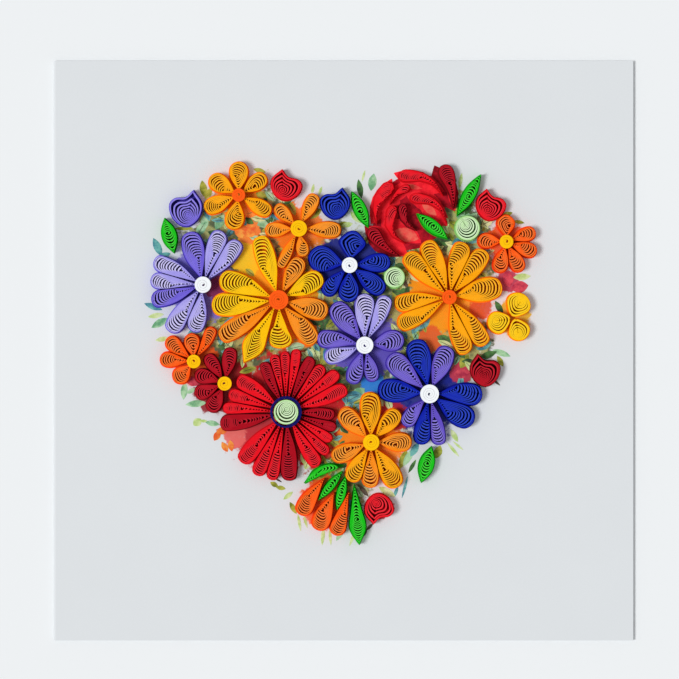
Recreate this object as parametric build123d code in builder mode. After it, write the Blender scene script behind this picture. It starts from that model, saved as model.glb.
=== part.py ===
from build123d import *

import math
import os
from dataclasses import dataclass

# Card: one sheet folded at its left edge, lying on its back with the front up
card_side = 150.0
card_stock = 0.4
leaf_gap = 0.4

# Paper strips: the petals stand on edge, the rolled centres are cut from a narrower strip
strip_width = 3.0
centre_strip_width = 1.5
strip_paper = 0.3
petal_gap = 0.16
tip_lap = 0.7

# Loose coils: flats that make up a round end, and how the second turn shrinks towards the eye
round_end_flats = 4
leaf_flats = 3
bowed_side_flats = 3
second_turn_outer = 0.70
second_turn_inner = 0.42
second_turn_step = 2
second_turn_corners = 3
tip_overlap = 0.8

# A petal with room beside it swells: where its fullest belly lies, as shares of its length and half width
belly_along_share = 0.5
belly_across_share = 0.93

# Tight rolls
roll_flats = 10
roll_eye_flats = 3
roll_eye_diameter = 0.8

# Ring of a few turns round the red flower's middle roll
red_ring_diameter = 8.1
red_ring_wall = 0.75
red_ring_clearance = 0.1

# Where the eye of a coil lies along it, as a share of its length
eye_share = 0.5
blue_eye_share = 0.4
red_eye_share = 0.7

card_top = 2 * card_stock + leaf_gap
petal_top = card_top + strip_width
red_roll_diameter = red_ring_diameter - 2 * (red_ring_wall + red_ring_clearance)


@dataclass(frozen=True)
class Coil:
    """One loose coil: pinched at its tip, closed at its end, bowed to the left of that line.

    The belly says how full its left and its right side are, from nought for a straight side to one.
    """

    tip: tuple
    end: tuple
    width: float
    shape: str = "teardrop"
    bow: float = 0.0
    eye: float = eye_share
    belly: tuple = (0.0, 0.0)


@dataclass(frozen=True)
class Flower:
    """Petals round one centre; each petal is its direction in degrees, its reach and its width."""

    name: str
    centre: tuple
    roll_diameter: float
    petals: dict
    eye: float = eye_share


FLOWERS = [
    Flower("amber_flower", (-27.0, 40.1), 3.4, {
        "petals": [(90, 8.7, 5.0), (36, 8.6, 4.4), (-29, 9.4, 4.2),
                   (-100, 8.9, 5.0), (202, 9.5, 4.6), (148, 8.8, 4.8)],
    }),
    Flower("tangerine_flower", (-11.5, 31.5), 4.2, {
        "petals": [(64, 9.8, 3.8), (-2, 10.8, 4.4), (-80, 7.3, 3.4),
                   (244, 11.2, 2.9), (183, 8.6, 3.9), (135, 8.4, 3.6)],
    }),
    Flower("lilac_flower", (-36.2, 17.0), 4.2, {
        "light_petals": [(72, 14.6, 5.0), (50, 14.5, 4.7), (153, 14.1, 4.8),
                         (175, 13.6, 4.6), (234, 14.8, 5.0), (260, 12.3, 4.8)],
        "dark_petals": [(105, 14.0, 5.8), (198, 13.9, 4.8)],
    }),
    Flower("sunny_flower", (-16.7, 13.1), 5.0, {
        "yellow_petals": [(107, 17.1, 5.3), (29, 12.8, 5.5), (-87, 12.4, 5.8, "shield"),
                          (241, 18.6, 5.6, "pinched"), (185, 17.3, 6.2), (159, 16.2, 6.0)],
        "orange_petals": [(62, 12.2, 4.6), (-14, 13.0, 5.5), (-50, 14.5, 5.2), (213, 18.0, 5.2)],
    }),
    Flower("blue_flower", (1.6, 22.05), 4.0, {
        "petals": [(83, 8.9, 7.0), (5, 10.5, 4.9), (-38, 11.1, 5.0),
                   (-92, 9.4, 5.8), (229, 9.9, 4.5), (167, 10.8, 6.8)],
    }, eye=blue_eye_share),
    Flower("gold_flower", (27.3, 13.8), 3.7, {
        "petals": [(135, 15.7, 5.5), (112, 15.6, 5.5), (76, 14.6, 5.4), (52, 15.2, 5.5), (12, 13.9, 6.2),
                   (-52, 15.4, 5.2), (-74, 15.2, 5.4), (210, 15.0, 5.5), (187, 14.1, 5.5)],
    }),
    Flower("violet_flower", (5.5, 1.45), 4.4, {
        "pale_petals": [(90, 13.2, 5.6), (65, 13.8, 4.6), (199, 10.8, 4.3)],
        "deep_petals": [(127, 13.3, 5.6), (9, 10.2, 5.4), (-76, 9.6, 3.8), (251, 10.4, 4.2),
                        (171, 12.4, 4.8)],
    }),
    Flower("indigo_flower", (22.2, -11.1), 4.8, {
        "blue_petals": [(105, 14.3, 6.0), (-1, 13.6, 6.0), (-34, 13.5, 6.2), (260, 13.2, 5.4),
                        (175, 13.2, 6.0)],
        "lilac_petals": [(137, 14.2, 5.8), (68, 13.0, 5.2), (-78, 13.4, 4.8), (231, 10.4, 4.2)],
    }),
    Flower("coral_flower", (-38.55, -2.76), 3.5, {
        "petals": [(140, 9.1, 4.4), (96, 7.2, 4.8), (60, 10.0, 3.8), (176, 8.8, 4.2), (227, 7.2, 4.6)],
    }),
    Flower("maroon_flower", (-30.6, -8.45), 3.6, {
        "petals": [(80, 9.3, 3.8), (122, 8.7, 3.6), (162, 8.1, 4.2), (201, 8.2, 4.2), (242, 8.2, 4.2)],
    }),
    Flower("red_flower", (-14.8, -15.8), red_roll_diameter, {
        "bright_petals": [(102, 15.0, 2.9), (91, 15.5, 2.9), (80, 16.3, 2.9), (51, 15.2, 3.5),
                          (37, 16.8, 3.6), (21, 16.7, 4.2), (-32, 13.8, 3.2), (-45, 15.2, 3.4),
                          (-60, 16.2, 4.0), (258, 17.9, 3.3), (245, 18.0, 3.8), (228, 17.3, 4.6),
                          (176, 16.3, 3.4), (162, 15.5, 3.6), (145, 15.2, 4.4)],
        "dark_petals": [(115, 14.0, 3.4), (65, 15.5, 3.4), (-3, 12.5, 3.4), (-18, 13.5, 3.0),
                        (-87, 17.7, 4.5), (191, 17.2, 4.8)],
    }, eye=red_eye_share),
    Flower("peach_flower", (7.16, -23.6), 4.2, {
        "amber_petals": [(91, 12.8, 5.4), (49, 10.7, 4.6), (-59, 13.4, 5.4), (241, 11.5, 4.8)],
        "orange_petals": [(0, 10.4, 5.0), (-91, 11.7, 4.6), (202, 10.8, 4.6), (133, 11.4, 5.0)],
    }),
    Flower("ember_flower", (42.0, 28.1), 3.5, {
        "petals": [(91, 7.0, 4.8), (20, 8.0, 3.8), (-20, 8.3, 4.0), (-63, 8.5, 4.0),
                   (256, 8.1, 4.1), (177, 7.3, 4.0)],
    }),
]

# Rose: curved coils of two reds laid round its heart
ROSE = {
    "rose_bright_petals": [
        Coil((8.6, 32.6), (13.0, 42.9), 3.2, bow=2.2),
        Coil((12.0, 37.7), (17.2, 42.2), 2.0, bow=1.0),
        Coil((16.1, 27.6), (13.4, 37.4), 2.6, bow=3.0),
        Coil((25.9, 39.9), (14.3, 44.7), 3.2, bow=-2.5),
        Coil((26.9, 32.7), (17.2, 39.2), 2.6, bow=-2.7),
    ],
    "rose_dark_petals": [
        Coil((28.4, 36.6), (25.6, 47.8), 4.0, bow=-0.8),
        Coil((14.6, 24.4), (7.0, 31.6), 3.4, bow=1.0),
        Coil((19.0, 31.0), (15.6, 38.0), 2.2, bow=1.8),
    ],
}

# Buds with a round foot, a peak on one side and a full lobe on the other
TULIP_BUDS = {
    "purple_bud": Coil((-40.6, 32.1), (-40.8, 41.4), 8.4, "tulip", belly=(1.0, 0.0)),
    "crimson_bud": Coil((-15.6, 38.9), (-13.9, 46.3), 8.0, "tulip", belly=(0.0, 1.0)),
    "blue_bud": Coil((-2.1, 34.0), (-2.2, 42.0), 7.6, "tulip", belly=(1.0, 0.0)),
    "scarlet_bud": Coil((37.3, 33.7), (38.9, 41.3), 7.6, "tulip", belly=(0.0, 1.0)),
    "ruby_bud": Coil((36.7, -9.2), (36.6, -0.9), 7.6, "tulip", belly=(0.0, 1.0)),
    "cherry_bud": Coil((8.8, -36.9), (9.6, -44.6), 7.4, "tulip", belly=(1.0, 0.0)),
}

# Small pieces that come in sets; the tulip lies at the point of the heart
SETS = {
    "yellow_bud": [
        Coil((43.4, 9.0), (46.6, 14.5), 6.4, "drop"),
        Coil((43.0, 8.4), (37.4, 6.3), 5.8, "drop"),
        Coil((44.2, 8.2), (46.3, 2.8), 5.6, "drop"),
    ],
    "green_leaf": [
        Coil((-46.2, 34.2), (-43.7, 25.3), 3.8, "leaf"),
        Coil((2.2, 41.1), (6.45, 31.9), 3.2, "leaf"),
        Coil((35.5, 45.5), (29.4, 34.9), 3.2, "leaf"),
        Coil((19.0, 35.4), (26.9, 28.9), 3.2, "leaf"),
        Coil((22.8, -24.8), (20.15, -34.05), 3.8, "leaf"),
    ],
    "pale_coil": [
        Coil((32.05, 28.4), (32.05, 34.8), 6.4, "round"),
        Coil((13.1, 16.2), (13.1, 21.6), 5.4, "round"),
    ],
    "tulip_petal": [
        Coil((-4.9, -32.9), (-11.3, -42.2), 4.6, belly=(0.0, 0.8)),
        Coil((-2.4, -36.6), (-6.8, -46.2), 4.8, belly=(0.4, 0.7)),
        Coil((1.4, -36.4), (-2.0, -47.6), 4.2),
    ],
    "tulip_sepal": [
        Coil((0.0, -29.7), (-10.1, -34.4), 2.2, "leaf", bow=-1.3),
        Coil((-0.3, -31.2), (-6.5, -38.6), 2.2, "leaf"),
        Coil((0.6, -32.4), (-1.7, -41.2), 2.4, "leaf"),
        Coil((2.8, -34.6), (4.1, -50.1), 4.2, "pinched"),
    ],
}


def round_end(length, width):
    """Corners of a teardrop's round end, from where its straight side meets it to its middle."""
    radius = width / 2
    to_centre = length - radius
    turn = math.pi / 2 + math.asin(radius / to_centre)
    angles = [turn * (1 - 2 * step / round_end_flats) for step in range(round_end_flats // 2 + 1)]
    return [(to_centre + radius * math.cos(angle), radius * math.sin(angle)) for angle in angles]


def full_belly(length, width):
    """Corner of a teardrop's side at its fullest."""
    return (belly_along_share * length, belly_across_share * width / 2)


def teardrop_side(length, width, side_flats, belly):
    """Left side of a teardrop, from its pinched tip to the middle of its round end."""
    end = round_end(length, width)
    full = full_belly(length, width)
    end[0] = tuple(straight + belly * (swollen - straight) for straight, swollen in zip(end[0], full))
    shares = [step / side_flats for step in range(side_flats)]
    return [(share * end[0][0], share * end[0][1]) for share in shares] + end


def leaf_side(length, width):
    """Left side of a leaf pinched at both ends: one arc cut into flats."""
    half = length / 2
    rise = width / 2
    radius = (half**2 + rise**2) / (2 * rise)
    alongs = [length * step / leaf_flats for step in range(leaf_flats + 1)]
    return [(along, math.sqrt(radius**2 - (along - half) ** 2) - (radius - rise)) for along in alongs]


def round_side(length, width):
    """Left half of a round coil."""
    radius = width / 2
    angles = [math.pi * 2 * step / roll_flats for step in range(roll_flats // 2 + 1)]
    return [(length / 2 - radius * math.cos(angle), radius * math.sin(angle)) for angle in angles]


def share_side(length, width, shares):
    """Left side given by its corners as shares of the length and of the half width."""
    return [(length * along, width / 2 * across) for along, across in shares]


def side_of(coil, length, belly):
    """Left side of a coil's outer turn, as distances along it and across it."""
    if coil.shape == "leaf":
        return leaf_side(length, coil.width)
    if coil.shape == "round":
        return round_side(length, coil.width)
    if coil.shape == "pinched":
        return share_side(length, coil.width, [(0, 0), (0.46, 0.72), (0.72, 1.0), (1, 0)])
    if coil.shape == "shield":
        return share_side(length, coil.width, [(0, 0), (0.56, 0.7), (0.87, 1.0), (1, 0)])
    if coil.shape == "drop":
        return share_side(length, coil.width, [(0, 0), (0.28, 0.74), (0.6, 1.0), (0.88, 0.66), (1, 0)])
    if coil.shape == "tulip":
        top = (0.78, 0.66) if belly else (1.0, 0.5)
        return share_side(length, coil.width, [(0, 0), (0.2, 0.74), (0.6, 1.0), top, (0.8, 0)])
    return teardrop_side(length, coil.width, bowed_side_flats if coil.bow else 1, belly)


def placed(coil, point):
    """A point of a coil on the card, from its distances along and across the coil's bowed line."""
    length = math.dist(coil.tip, coil.end)
    share = point[0] / length
    lean = math.atan2(4 * coil.bow * (1 - 2 * share), length)
    along = point[0] - point[1] * math.sin(lean)
    across = 4 * coil.bow * share * (1 - share) + point[1] * math.cos(lean)
    heading_x = (coil.end[0] - coil.tip[0]) / length
    heading_y = (coil.end[1] - coil.tip[1]) / length
    return (coil.tip[0] + heading_x * along - heading_y * across,
            coil.tip[1] + heading_y * along + heading_x * across)


def corners_of(coil):
    """Corners of a coil's outer turn along its own line: out on its left side and back on its right."""
    length = math.dist(coil.tip, coil.end)
    left, right = [side_of(coil, length, belly) for belly in coil.belly]
    return left + [(along, -across) for along, across in right[-2:0:-1]]


def outline_of(coil):
    """Corners of a coil's outer turn on the card."""
    return [placed(coil, point) for point in corners_of(coil)]


def second_turn_of(coil):
    """Middle line of the strip's second turn, from inside the tip round the eye."""
    loop = corners_of(coil)[1:]
    eye = coil.eye * math.dist(coil.tip, coil.end)
    tip_angle = (math.atan2(loop[0][1], loop[0][0]) + math.atan2(-loop[-1][1], loop[-1][0])) / 2
    path = [(tip_overlap * strip_paper / math.sin(tip_angle), 0.0)]
    corners = loop[::second_turn_step][:second_turn_corners]
    for index, (along, across) in enumerate(corners):
        share = index / (len(corners) - 1)
        scale = second_turn_outer + (second_turn_inner - second_turn_outer) * share
        path.append((eye + scale * (along - eye), scale * across))
    return [placed(coil, point) for point in path]


def strip_edges(path):
    """Outline of a paper strip that stands on edge along a path."""
    half = strip_paper / 2
    left = []
    right = []
    for index, (x, y) in enumerate(path):
        before = path[max(index - 1, 0)]
        after = path[min(index + 1, len(path) - 1)]
        into = math.atan2(y - before[1], x - before[0]) if index > 0 else None
        out = math.atan2(after[1] - y, after[0] - x) if index < len(path) - 1 else into
        into = out if into is None else into
        half_turn = math.remainder(out - into, 2 * math.pi) / 2
        across = into + half_turn + math.pi / 2
        spread = half / math.cos(half_turn)
        left.append((x + spread * math.cos(across), y + spread * math.sin(across)))
        right.append((x - spread * math.cos(across), y - spread * math.sin(across)))
    return left + right[::-1]


def belly_in(room, start, length, width):
    """How full a petal's side may be, inside a line that leaves the flower's middle at an angle from it."""
    straight, full = [(start + along) * math.sin(room) - across * math.cos(room) - petal_gap / 2
                      for along, across in (round_end(length, width)[0], full_belly(length, width))]
    return 1.0 if full >= 0 else max(straight / (straight - full), 0.0)


def fitted_petals(petals, start):
    """Each petal's width and the fullness of its two sides, as the petals beside it allow."""
    turned = sorted(petals, key=lambda petal: petal[0] % 360)
    wants = [math.asin(width / 2 / (reach - width / 2)) for _, reach, width, *_ in turned]
    fits = {}
    for index, (angle, reach, width, *_) in enumerate(turned):
        after, before = (index + 1) % len(turned), index - 1
        gaps = [math.radians((turned[after][0] - angle) % 360), math.radians((angle - turned[before][0]) % 360)]
        rooms = [min(gap * wants[index] / (wants[index] + wants[other]), math.pi / 2)
                 for gap, other in zip(gaps, (after, before))]
        narrow = math.sin(min(wants[index], *rooms))
        width = min(width, 2 * (reach * narrow - petal_gap / 2) / (1 + narrow))
        fits[angle] = (width, tuple(belly_in(room, start, reach - start, width) for room in rooms))
    return fits


def petal_coils(flower):
    """The coils of one flower, listed under the name of each shade of petal."""
    start = flower.roll_diameter / 2 - tip_lap
    fits = fitted_petals([petal for shade in flower.petals.values() for petal in shade], start)
    coils = {}
    for shade, petals in flower.petals.items():
        coils[shade] = []
        for angle, reach, _, *shape in petals:
            heading = (math.cos(math.radians(angle)), math.sin(math.radians(angle)))
            tip, end = [(flower.centre[0] + radius * heading[0], flower.centre[1] + radius * heading[1])
                        for radius in (start, reach)]
            width, belly = fits[angle]
            shape_name = shape[0] if shape else "teardrop"
            coils[shade].append(Coil(tip, end, width, shape_name, eye=flower.eye, belly=belly))
    return coils


def coil_sketch(coil):
    """One coil seen from above: its closed outer turn and the second turn inside it."""
    with BuildSketch() as turns:
        with BuildLine():
            Polyline(*outline_of(coil), close=True)
        make_face()
        offset(amount=-strip_paper, kind=Kind.INTERSECTION, mode=Mode.SUBTRACT)
        with BuildLine():
            Polyline(*strip_edges(second_turn_of(coil)), close=True)
        make_face()
    return turns.sketch


def write_piece(piece, name):
    """Labels a finished piece and writes it to its own file."""
    piece.part.label = name
    export_step(piece.part, f"parts/{name}.step")


def write_coils(name, coils):
    """Loose coils that stand on the front of the card."""
    sketches = [coil_sketch(coil) for coil in coils]
    with BuildPart() as standing:
        with BuildSketch(Plane.XY.offset(card_top)):
            add(sketches)
        extrude(amount=strip_width)
    write_piece(standing, name)


def write_roll(name, centre, diameter):
    """A tight roll with a small eye, glued on the tips of the petals round it."""
    with BuildPart() as roll:
        with BuildSketch(Plane.XY.offset(petal_top)):
            with Locations(centre):
                RegularPolygon(diameter / 2, roll_flats)
                RegularPolygon(roll_eye_diameter / 2, roll_eye_flats, mode=Mode.SUBTRACT)
        extrude(amount=centre_strip_width)
    write_piece(roll, name)


os.makedirs("parts", exist_ok=True)

# Folded card: the two leaves and the half-round fold that joins them
with BuildPart() as card:
    with BuildSketch(Plane.XZ):
        with BuildLine():
            fold_x = -card_side / 2 + card_top / 2
            open_x = card_side / 2
            inner_top = card_top - card_stock
            Polyline((fold_x, 0), (open_x, 0), (open_x, card_stock), (fold_x, card_stock))
            ThreePointArc((fold_x, card_stock), (fold_x - leaf_gap / 2, card_top / 2), (fold_x, inner_top))
            Polyline((fold_x, inner_top), (open_x, inner_top), (open_x, card_top), (fold_x, card_top))
            ThreePointArc((fold_x, card_top), (-card_side / 2, card_top / 2), (fold_x, 0))
        make_face()
    extrude(amount=card_side / 2, both=True)
write_piece(card, "card")

# Flowers: petals of each shade, and the roll in the middle
for flower in FLOWERS:
    for shade, coils in petal_coils(flower).items():
        write_coils(f"{flower.name}_{shade}", coils)
    write_roll(f"{flower.name}_centre", flower.centre, flower.roll_diameter)

# Ring of a few turns that goes round the red flower's middle roll
red_centre = next(flower.centre for flower in FLOWERS if flower.name == "red_flower")
with BuildPart() as red_ring:
    with BuildSketch(Plane.XY.offset(petal_top)):
        with Locations(red_centre):
            RegularPolygon(red_ring_diameter / 2, roll_flats)
            RegularPolygon(red_ring_diameter / 2 - red_ring_wall, roll_flats, mode=Mode.SUBTRACT)
    extrude(amount=centre_strip_width)
write_piece(red_ring, "red_flower_ring")

# Rose, buds, and the pieces that come in sets
for name, coils in ROSE.items():
    write_coils(name, coils)
for name, bud in TULIP_BUDS.items():
    write_coils(name, [bud])
for name, coils in SETS.items():
    for number, coil in enumerate(coils, start=1):
        write_coils(f"{name}_{number}", [coil])
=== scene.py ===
"""A square greeting card with a heart of quilled paper flowers glued on its front."""

import logging
import math
import random
from dataclasses import dataclass
from enum import Enum
from typing import Optional, Sequence, Union

import bmesh
import bpy
import numpy as np
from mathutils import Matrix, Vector


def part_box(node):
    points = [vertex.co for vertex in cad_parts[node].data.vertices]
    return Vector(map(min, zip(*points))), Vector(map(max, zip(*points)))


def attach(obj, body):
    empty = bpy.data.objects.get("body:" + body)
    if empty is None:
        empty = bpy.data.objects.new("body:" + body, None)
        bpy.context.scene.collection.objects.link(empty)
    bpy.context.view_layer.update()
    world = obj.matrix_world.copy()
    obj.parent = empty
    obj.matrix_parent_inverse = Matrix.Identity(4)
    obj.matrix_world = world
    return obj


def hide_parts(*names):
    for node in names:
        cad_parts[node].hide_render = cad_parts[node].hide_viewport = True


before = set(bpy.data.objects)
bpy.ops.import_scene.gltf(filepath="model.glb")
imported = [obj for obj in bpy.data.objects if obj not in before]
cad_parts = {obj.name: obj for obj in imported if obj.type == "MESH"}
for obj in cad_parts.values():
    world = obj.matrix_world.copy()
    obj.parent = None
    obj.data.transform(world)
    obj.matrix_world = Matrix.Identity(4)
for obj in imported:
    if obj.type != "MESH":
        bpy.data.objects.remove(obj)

LOG = logging.getLogger("quilled_card")
MM = 0.001
WELD = 1e-6
TINY = 1e-9
LID_SLOPE = 0.9
LID_DEPTH = 10 * WELD
NOISE_MIDDLE = 0.5


def linear(code: str) -> tuple[float, float, float, float]:
    """Turns a colour as it is seen into the light that a shader mixes.

    Args:
        code: Colour as a hash sign and six hexadecimal digits.

    Returns:
        Red, green, blue and a full alpha.
    """
    parts = [int(code[at:at + 2], 16) / 255 for at in (1, 3, 5)]
    red, green, blue = (p / 12.92 if p <= 0.04045 else ((p + 0.055) / 1.055) ** 2.4 for p in parts)
    return red, green, blue, 1.0


class Wire:
    """A shader socket that stands in a Python expression; each operator adds a Math node."""

    def __init__(self, bench: "ShaderBench", socket: bpy.types.NodeSocket) -> None:
        """Keeps the bench that the socket is wired on."""
        self.bench = bench
        self.socket = socket

    def _math(self, operation: str, first: "Feed", second: "Feed") -> "Wire":
        """One Math node on two values."""
        return self.bench.node("ShaderNodeMath", {"operation": operation}, {0: first, 1: second})

    def __add__(self, other: "Feed") -> "Wire":
        """Sum."""
        return self._math("ADD", self, other)

    def __radd__(self, other: "Feed") -> "Wire":
        """Sum with a number first."""
        return self._math("ADD", other, self)

    def __sub__(self, other: "Feed") -> "Wire":
        """Difference."""
        return self._math("SUBTRACT", self, other)

    def __mul__(self, other: "Feed") -> "Wire":
        """Product."""
        return self._math("MULTIPLY", self, other)

    def __truediv__(self, other: "Feed") -> "Wire":
        """Quotient."""
        return self._math("DIVIDE", self, other)

    def __gt__(self, other: "Feed") -> "Wire":
        """One where this value is the greater, and nought elsewhere."""
        return self._math("GREATER_THAN", self, other)


Feed = Union[Wire, float, tuple]


class ShaderBench:
    """A material's node tree, with one method for each way of adding to it."""

    def __init__(self, name: str) -> None:
        """Starts a material that holds only a Principled shader and its output."""
        self.material = bpy.data.materials.new(name)
        self.material.use_nodes = True
        self.tree = self.material.node_tree
        self.shader = self.tree.nodes["Principled BSDF"]
        self.place = self.node("ShaderNodeTexCoord", out="Object")

    def node(self, kind: str, settings: Optional[dict] = None, feeds: Optional[dict] = None,
             out: Union[int, str] = 0) -> Wire:
        """Adds one node.

        Args:
            kind: The node's type.
            settings: Its properties, set before its sockets.
            feeds: Value or link of each input, by name or by number.
            out: The output to go on with.

        Returns:
            That output.
        """
        made = self.tree.nodes.new(kind)
        for key, value in (settings or {}).items():
            setattr(made, key, value)
        for key, value in (feeds or {}).items():
            self.feed(made.inputs[key], value)
        return Wire(self, made.outputs[out])

    def feed(self, socket: bpy.types.NodeSocket, value: Feed) -> None:
        """Links a wire to a socket, or sets the socket to a plain value."""
        if isinstance(value, Wire):
            self.tree.links.new(value.socket, socket)
        else:
            socket.default_value = value

    def mix(self, factor: Feed, first: Feed, second: Feed, blend: str = "MIX") -> Wire:
        """Mixes two colours."""
        return self.node("ShaderNodeMix", {"data_type": "RGBA", "blend_type": blend},
                         {0: factor, 6: first, 7: second}, out=2)

    def noise(self, scale: float, detail: float = 2.0, roughness: float = 0.5) -> Wire:
        """Soft noise over the piece, with its scale in waves to the metre."""
        return self.node("ShaderNodeTexNoise", {}, {"Vector": self.place, "Scale": scale, "Detail": detail,
                                                    "Roughness": roughness})

    def ramp(self, value: Feed, low: float, high: float, start: float = 0.0, end: float = 1.0) -> Wire:
        """Maps a range of values smoothly to another."""
        return self.node("ShaderNodeMapRange", {"interpolation_type": "SMOOTHSTEP"},
                         {"Value": value, "From Min": low, "From Max": high, "To Min": start, "To Max": end})

    def shade(self, colour: Feed, value: Feed) -> Wire:
        """Makes a colour lighter or darker."""
        return self.node("ShaderNodeHueSaturation", {}, {"Value": value, "Color": colour})

    def bump(self, height: Feed, depth: float, strength: float = 1.0) -> Wire:
        """Relief from a height between nought and one."""
        return self.node("ShaderNodeBump", {}, {"Height": height, "Distance": depth, "Strength": strength})

    def finish(self, **sockets: Feed) -> bpy.types.Material:
        """Sets the shader's sockets, named with underscores for spaces, and hands the material over."""
        for key, value in sockets.items():
            self.feed(self.shader.inputs[key.replace("_", " ")], value)
        return self.material


@dataclass(frozen=True)
class PaperFinish:
    """Quilling paper: its broad face, darkened as painted shade on the walls; its cut edge, partly the paper's own
    paler core and partly painted light on the lit top; and a lighter cut edge where it stands free of its
    neighbours, a painted highlight.
    """

    slot: str
    face: str
    edge: str
    free: str
    tone: str = ""
    mottle: float = 0.16
    fibre_share: float = 0.7
    tooth: float = 0.02 * MM
    roughness: float = 0.66
    rougher: float = 0.22
    sheen: float = 0.08

    @property
    def name(self) -> str:
        """What the paper is called, with its tone where a slot has more than one."""
        return self.slot + self.tone

    def ink(self) -> "InkFinish":
        """The paper's wall colour as flat colour under its coils: painted shade for the floor of the gaps between
        the turns.
        """
        return InkFinish(self.name, self.face, self.face, slot=self.slot)

    def material(self) -> bpy.types.Material:
        """The finish as a material, made once and shared.

        Returns:
            The material.
        """
        known = bpy.data.materials.get("quill_" + self.name)
        if known:
            return known
        bench = ShaderBench("quill_" + self.name)
        spread = bench.node("ShaderNodeAttribute", {"attribute_name": "spread"}, out="Fac")
        normal = bench.node("ShaderNodeNewGeometry", out="Normal")
        upward = bench.node("ShaderNodeSeparateXYZ", {}, {0: normal}, out="Z")
        # Tops take the cut-edge colour and walls the face colour, which is painted shade on the walls; the tops
        # are partly the paper's own paler core and partly painted light. Where turns stand apart the tops mix
        # towards the free colour, a painted highlight.
        on_top = bench.ramp(upward, low=0.55, high=0.85)
        cut = bench.mix(spread, linear(self.edge), linear(self.free))
        paper = bench.mix(on_top, linear(self.face), cut)
        cloud = bench.noise(scale=420.0, detail=3.0, roughness=0.6)
        fibre = bench.noise(scale=5200.0, detail=3.0, roughness=0.65)
        value = (1.0 + (cloud - NOISE_MIDDLE) * self.mottle
                 + (fibre - NOISE_MIDDLE) * (self.mottle * self.fibre_share))
        return bench.finish(Base_Color=bench.shade(paper, value), Roughness=self.roughness + fibre * self.rougher,
                            Specular_IOR_Level=self.sheen, Normal=bench.bump(fibre, self.tooth))


class Paper(Enum):
    """The papers that the strips are cut from."""

    # face: wall colour, darkened as painted shade on the walls down between the turns; edge: top colour, partly
    # the paper's paler core and partly painted light on the lit top; free: painted highlight on tops that stand
    # apart.
    WHITE = PaperFinish("white_paper", "#E6ECF4", "#F4F8FC", "#FFFFFF")
    AMBER = PaperFinish("amber_paper", "#FF7A00", "#FFA400", "#FFB224")
    TANGERINE = PaperFinish("tangerine_paper", "#F66E04", "#FB8A0E", "#FFA23C")
    YELLOW = PaperFinish("yellow_paper", "#FF8E00", "#FFC200", "#FFCE20")
    GOLD = PaperFinish("gold_paper", "#FF7E00", "#FFA400", "#FFB428")
    CORAL = PaperFinish("coral_paper", "#F04004", "#FF580A", "#FF7A34")
    LILAC = PaperFinish("lilac_paper", "#6E62D0", "#A098EA", "#CEC8F8")
    PURPLE = PaperFinish("purple_paper", "#4838B4", "#6F5FD8", "#9084E6")
    VIOLET = PaperFinish("violet_paper", "#4632AA", "#6450C4", "#8C7EE0")
    BLUE = PaperFinish("blue_paper", "#05108A", "#081CA6", "#2C46C4")
    # Darker copy of the blue paper for the red flower's ring: painted shade on its flat, fully lit top.
    NAVY = PaperFinish("blue_paper", "#04083C", "#0A1264", "#1C2C8C", tone="_navy")
    RED = PaperFinish("red_paper", "#D00414", "#EE1020", "#F22C38")
    MAROON = PaperFinish("maroon_paper", "#820410", "#AC081C", "#C21E2E")
    PALE_GREEN = PaperFinish("pale_green_paper", "#8CCE70", "#B6E49A", "#D6F2C4")
    GREEN = PaperFinish("green_paper", "#089A0C", "#18C01A", "#42D83A")


@dataclass(frozen=True)
class InkFinish:
    """Printed colour that pools between a light and a deep tone, as thin paint does; the sheets of painted gap
    shade under the coils use it too.
    """

    name: str
    light: str
    deep: str
    slot: str = "white_card"
    strength: float = 0.95
    grain_share: float = 0.1
    tooth: float = 0.02 * MM
    roughness: float = 0.62
    rougher: float = 0.15
    sheen: float = 0.12

    def material(self) -> bpy.types.Material:
        """The ink as a material.

        Returns:
            The material.
        """
        bench = ShaderBench("print_" + self.name)
        pool = bench.noise(scale=520.0, detail=4.0, roughness=0.6)
        grain = bench.noise(scale=2600.0, detail=4.0, roughness=0.7)
        paint = bench.mix(bench.ramp(pool, low=0.34, high=0.68), linear(self.light), linear(self.deep))
        return bench.finish(Base_Color=bench.shade(paint, self.strength + grain * self.grain_share),
                            Roughness=self.roughness + grain * self.rougher,
                            Specular_IOR_Level=self.sheen, Normal=bench.bump(grain, self.tooth))


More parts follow.
